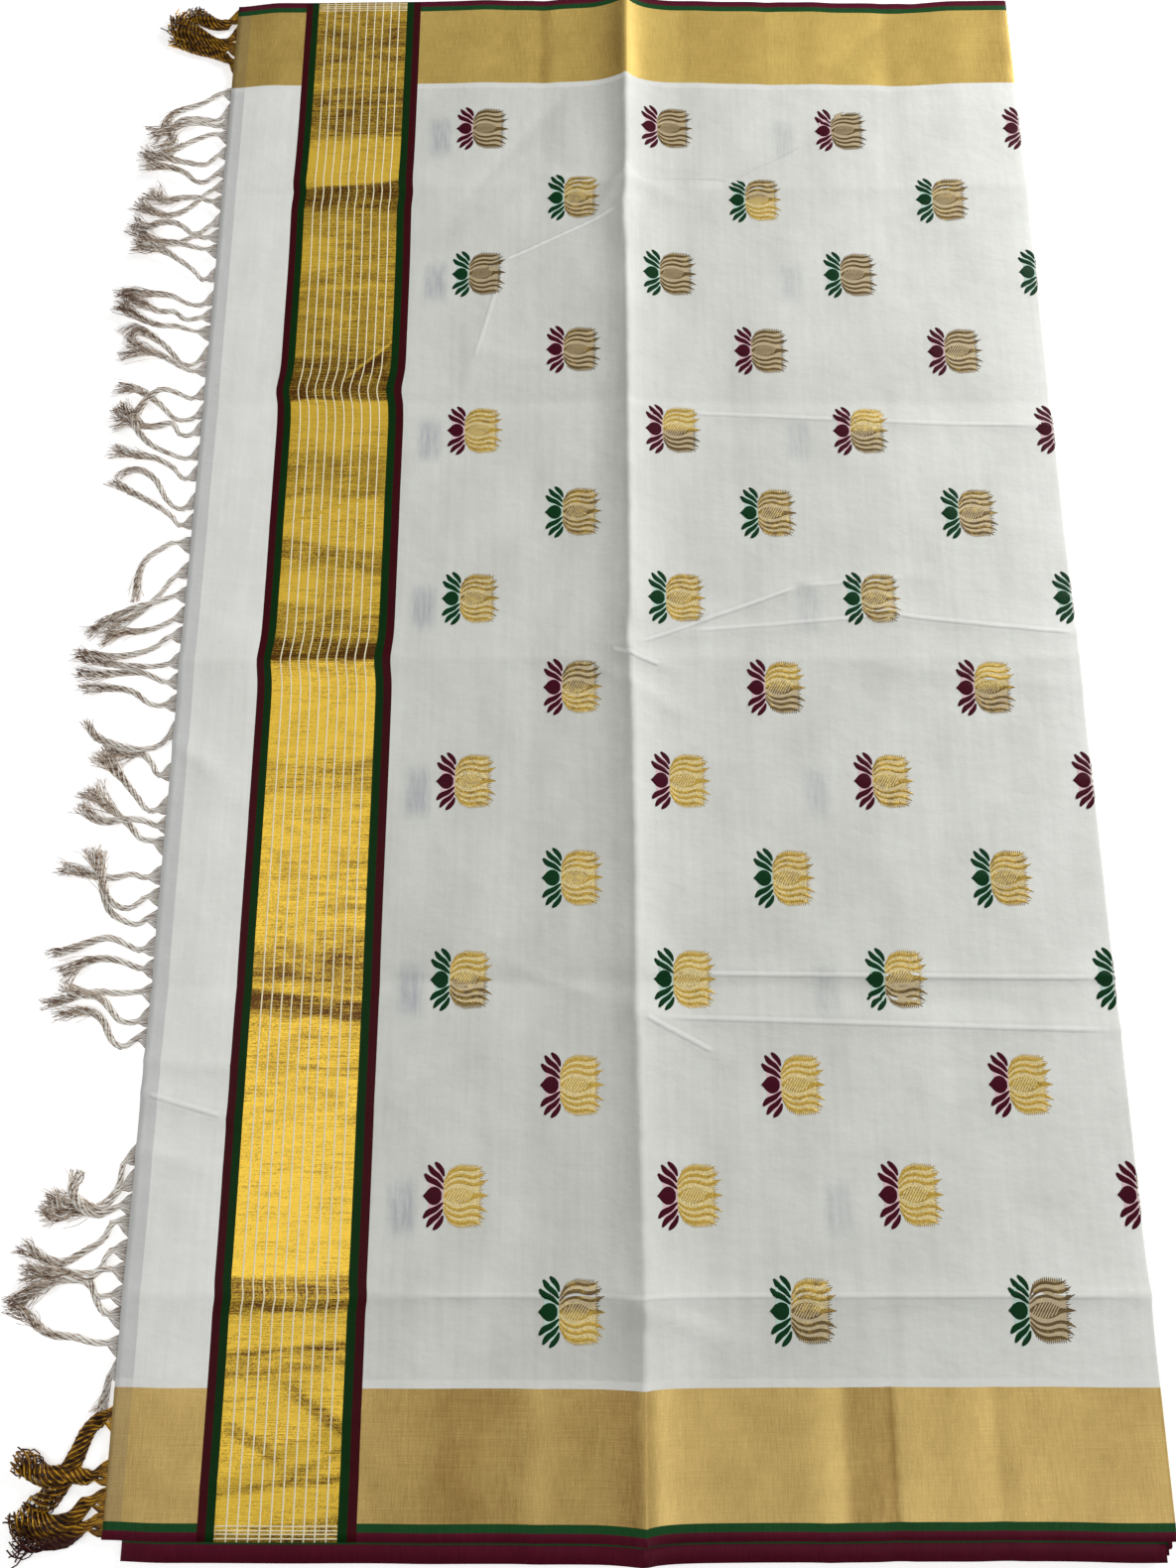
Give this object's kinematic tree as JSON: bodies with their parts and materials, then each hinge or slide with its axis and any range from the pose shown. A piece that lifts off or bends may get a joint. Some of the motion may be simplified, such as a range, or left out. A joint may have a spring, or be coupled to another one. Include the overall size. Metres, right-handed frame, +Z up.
{
  "type": "folded saree",
  "caption": "Cotton saree folded into long stretches and laid flat, with a gold pallu band, gold borders, woven lotus motifs and a knotted fringe.",
  "frame": {"origin": "on the flat underside, halfway between the selvages, under the middle ridge", "axes": "+X along the cloth's length from the fringed pallu edge to the fold, +Y from the near selvage to the far one, +Z up"},
  "size_m": [0.7545, 1.212, 0.0231],
  "materials": {
    "cotton": "fine plain-woven off-white cotton, matt with a slight sheen",
    "zari": "woven gold zari thread, satin and metallic",
    "yarn": "loose off-white cotton warp yarns, matt"
  },
  "bodies": {
    "root": {"top_stretch": "cotton", "second_stretch": "cotton", "folded_layers": "cotton", "fringe_zari_far": "zari", "fringe_white": "yarn", "fringe_zari_near": "zari"}
  },
  "joints": []
}
